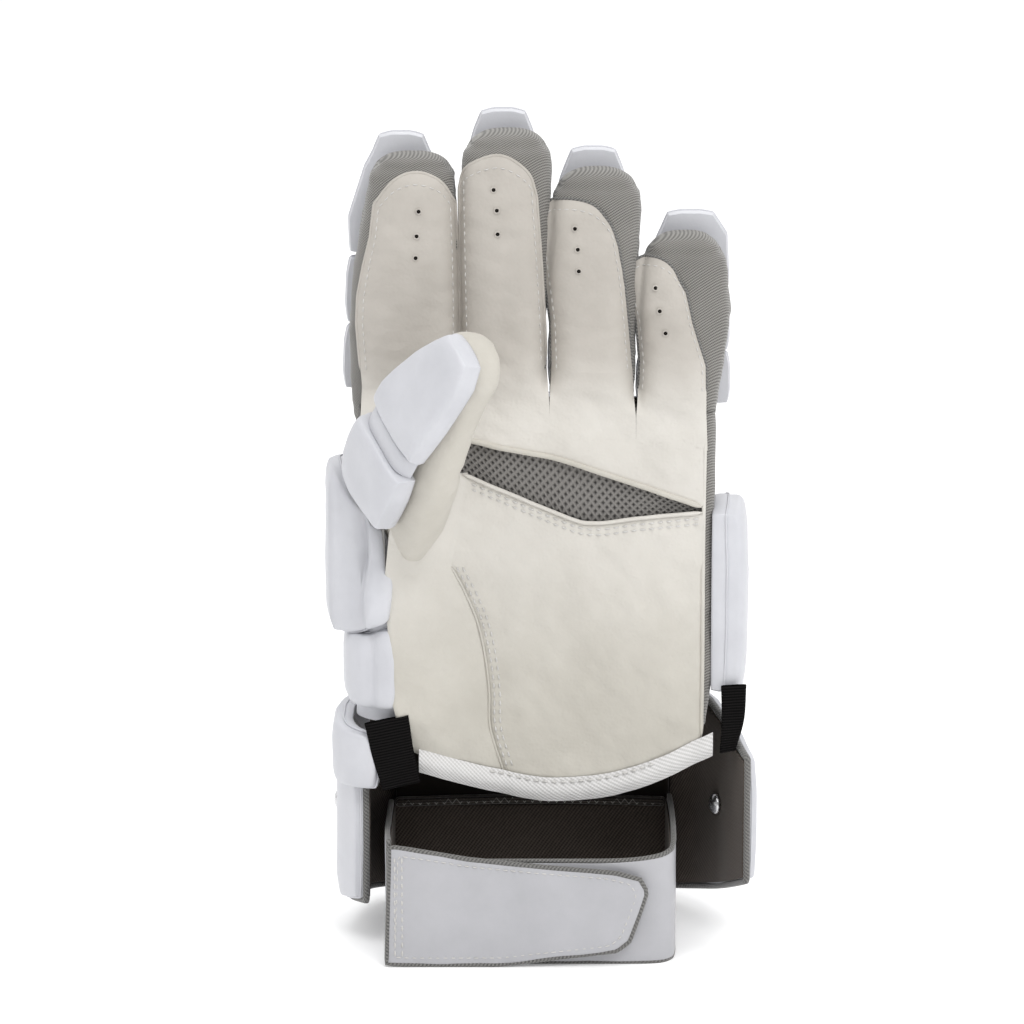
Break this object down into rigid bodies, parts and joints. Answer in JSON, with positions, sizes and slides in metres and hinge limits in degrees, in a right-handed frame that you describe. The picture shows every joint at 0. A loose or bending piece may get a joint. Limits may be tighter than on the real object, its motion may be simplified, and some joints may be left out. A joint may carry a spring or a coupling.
{
  "type": "sports glove",
  "caption": "Left-hand padded sports glove with a leather palm, segmented foam pads on the fingers, thumb and back, a floating cuff and a wrist strap with a hook-and-loop tab.",
  "frame": {"origin": "on the floor under the middle of the glove's box, with the glove standing on its cuff and strap", "axes": "+Z to the fingertips, -Y out of the palm, +Y out of the back of the hand, -X to the thumb"},
  "size_m": [0.1685, 0.1286, 0.327],
  "materials": {
    "white_pad": "smooth coated synthetic leather over foam",
    "palm_leather": "soft pebbled leather",
    "gusset_mesh": "grey twill mesh",
    "air_mesh": "grey open mesh",
    "lining": "dark knitted lining",
    "binding": "ribbed elastic binding",
    "webbing": "black ribbed elastic",
    "hook_loop": "hook-and-loop fabric",
    "moulded_plastic": "moulded sheet",
    "rivet_metal": "polished domed metal"
  },
  "bodies": {
    "cuff": {"cuff_back": "white_pad", "cuff_wing_left": "white_pad", "cuff_wing_right": "white_pad", "cuff_lining": "lining", "cuff_insert": "moulded_plastic", "cuff_rivets": "rivet_metal", "strap_left": "white_pad", "strap_right": "white_pad", "wrist_liner": "lining", "loop_patch": "hook_loop"},
    "hand": {"palm_upper": "palm_leather", "palm_lower": "palm_leather", "palm_mesh": "air_mesh", "thumb_base_panel": "palm_leather", "wrist_binding": "binding", "hand_side_gussets": "gusset_mesh", "side_roll": "white_pad", "backhand_lining": "lining", "backhand_plate": "moulded_plastic", "knuckle_roll": "white_pad", "backhand_pad_upper": "white_pad", "backhand_pad_lower": "white_pad", "thumb_base_pad_upper": "white_pad", "thumb_base_pad_lower": "white_pad", "elastic_straps": "webbing"},
    "index_lower": {"index_lower_pad": "white_pad", "index_lower_strip": "palm_leather", "index_lower_gusset": "gusset_mesh"},
    "index_upper": {"index_middle_pad": "white_pad", "index_tip_pad": "white_pad", "index_upper_strip": "palm_leather", "index_upper_gusset": "gusset_mesh"},
    "middle_lower": {"middle_lower_pad": "white_pad", "middle_lower_strip": "palm_leather", "middle_lower_gusset": "gusset_mesh"},
    "middle_upper": {"middle_middle_pad": "white_pad", "middle_tip_pad": "white_pad", "middle_upper_strip": "palm_leather", "middle_upper_gusset": "gusset_mesh"},
    "ring_lower": {"ring_lower_pad": "white_pad", "ring_lower_strip": "palm_leather", "ring_lower_gusset": "gusset_mesh"},
    "ring_upper": {"ring_middle_pad": "white_pad", "ring_tip_pad": "white_pad", "ring_upper_strip": "palm_leather", "ring_upper_gusset": "gusset_mesh"},
    "little_lower": {"little_lower_pad": "white_pad", "little_lower_strip": "palm_leather", "little_lower_gusset": "gusset_mesh"},
    "little_upper": {"little_middle_pad": "white_pad", "little_tip_pad": "white_pad", "little_upper_strip": "palm_leather", "little_upper_gusset": "gusset_mesh"},
    "thumb_middle": {"thumb_middle_pad": "white_pad", "thumb_middle_sleeve": "palm_leather"},
    "thumb_tip": {"thumb_tip_pad": "white_pad", "thumb_tip_sleeve": "palm_leather", "thumb_guard": "moulded_plastic"},
    "strap_tab": {"strap_tab": "white_pad", "hook_patch": "hook_loop"}
  },
  "joints": [
    {"name": "wrist_flex", "type": "hinge", "parent": "cuff", "child": "hand", "pos_m": [0, 0.016, 0.08], "axis": [1, 0, 0], "range_deg": [-15, 15]},
    {"name": "index_knuckle_flex", "type": "hinge", "parent": "hand", "child": "index_lower", "pos_m": [-0.053, -0.004, 0.217], "axis": [1, 0, 0], "range_deg": [0, 30]},
    {"name": "index_middle_flex", "type": "hinge", "parent": "index_lower", "child": "index_upper", "pos_m": [-0.05261, -0.004, 0.243], "axis": [1, 0, 0], "range_deg": [0, 35]},
    {"name": "middle_knuckle_flex", "type": "hinge", "parent": "hand", "child": "middle_lower", "pos_m": [-0.01475, -0.004, 0.219], "axis": [1, 0, 0], "range_deg": [0, 35]},
    {"name": "middle_middle_flex", "type": "hinge", "parent": "middle_lower", "child": "middle_upper", "pos_m": [-0.01435, -0.004, 0.248], "axis": [1, 0, 0], "range_deg": [0, 60]},
    {"name": "ring_knuckle_flex", "type": "hinge", "parent": "hand", "child": "ring_lower", "pos_m": [0.019, -0.004, 0.217], "axis": [1, 0, 0], "range_deg": [0, 60]},
    {"name": "ring_middle_flex", "type": "hinge", "parent": "ring_lower", "child": "ring_upper", "pos_m": [0.01941, -0.004, 0.243], "axis": [1, 0, 0], "range_deg": [0, 70]},
    {"name": "little_knuckle_flex", "type": "hinge", "parent": "hand", "child": "little_lower", "pos_m": [0.0525, -0.004, 0.211], "axis": [1, 0, 0], "range_deg": [0, 60]},
    {"name": "little_middle_flex", "type": "hinge", "parent": "little_lower", "child": "little_upper", "pos_m": [0.05361, -0.004, 0.232], "axis": [1, 0, 0], "range_deg": [0, 70]},
    {"name": "thumb_base_flex", "type": "hinge", "parent": "hand", "child": "thumb_middle", "pos_m": [-0.04839, -0.00265, 0.1771], "axis": [0.4203, -0.6913, -0.5878], "range_deg": [-12, 12]},
    {"name": "thumb_middle_flex", "type": "hinge", "parent": "thumb_middle", "child": "thumb_tip", "pos_m": [-0.03804, -0.02383, 0.20941], "axis": [0.4203, -0.6913, -0.5878], "range_deg": [-25, 15]},
    {"name": "strap_open", "type": "hinge", "parent": "cuff", "child": "strap_tab", "pos_m": [-0.059, -0.032, 0.02], "axis": [0, 0, -1], "range_deg": [0, 110]}
  ]
}
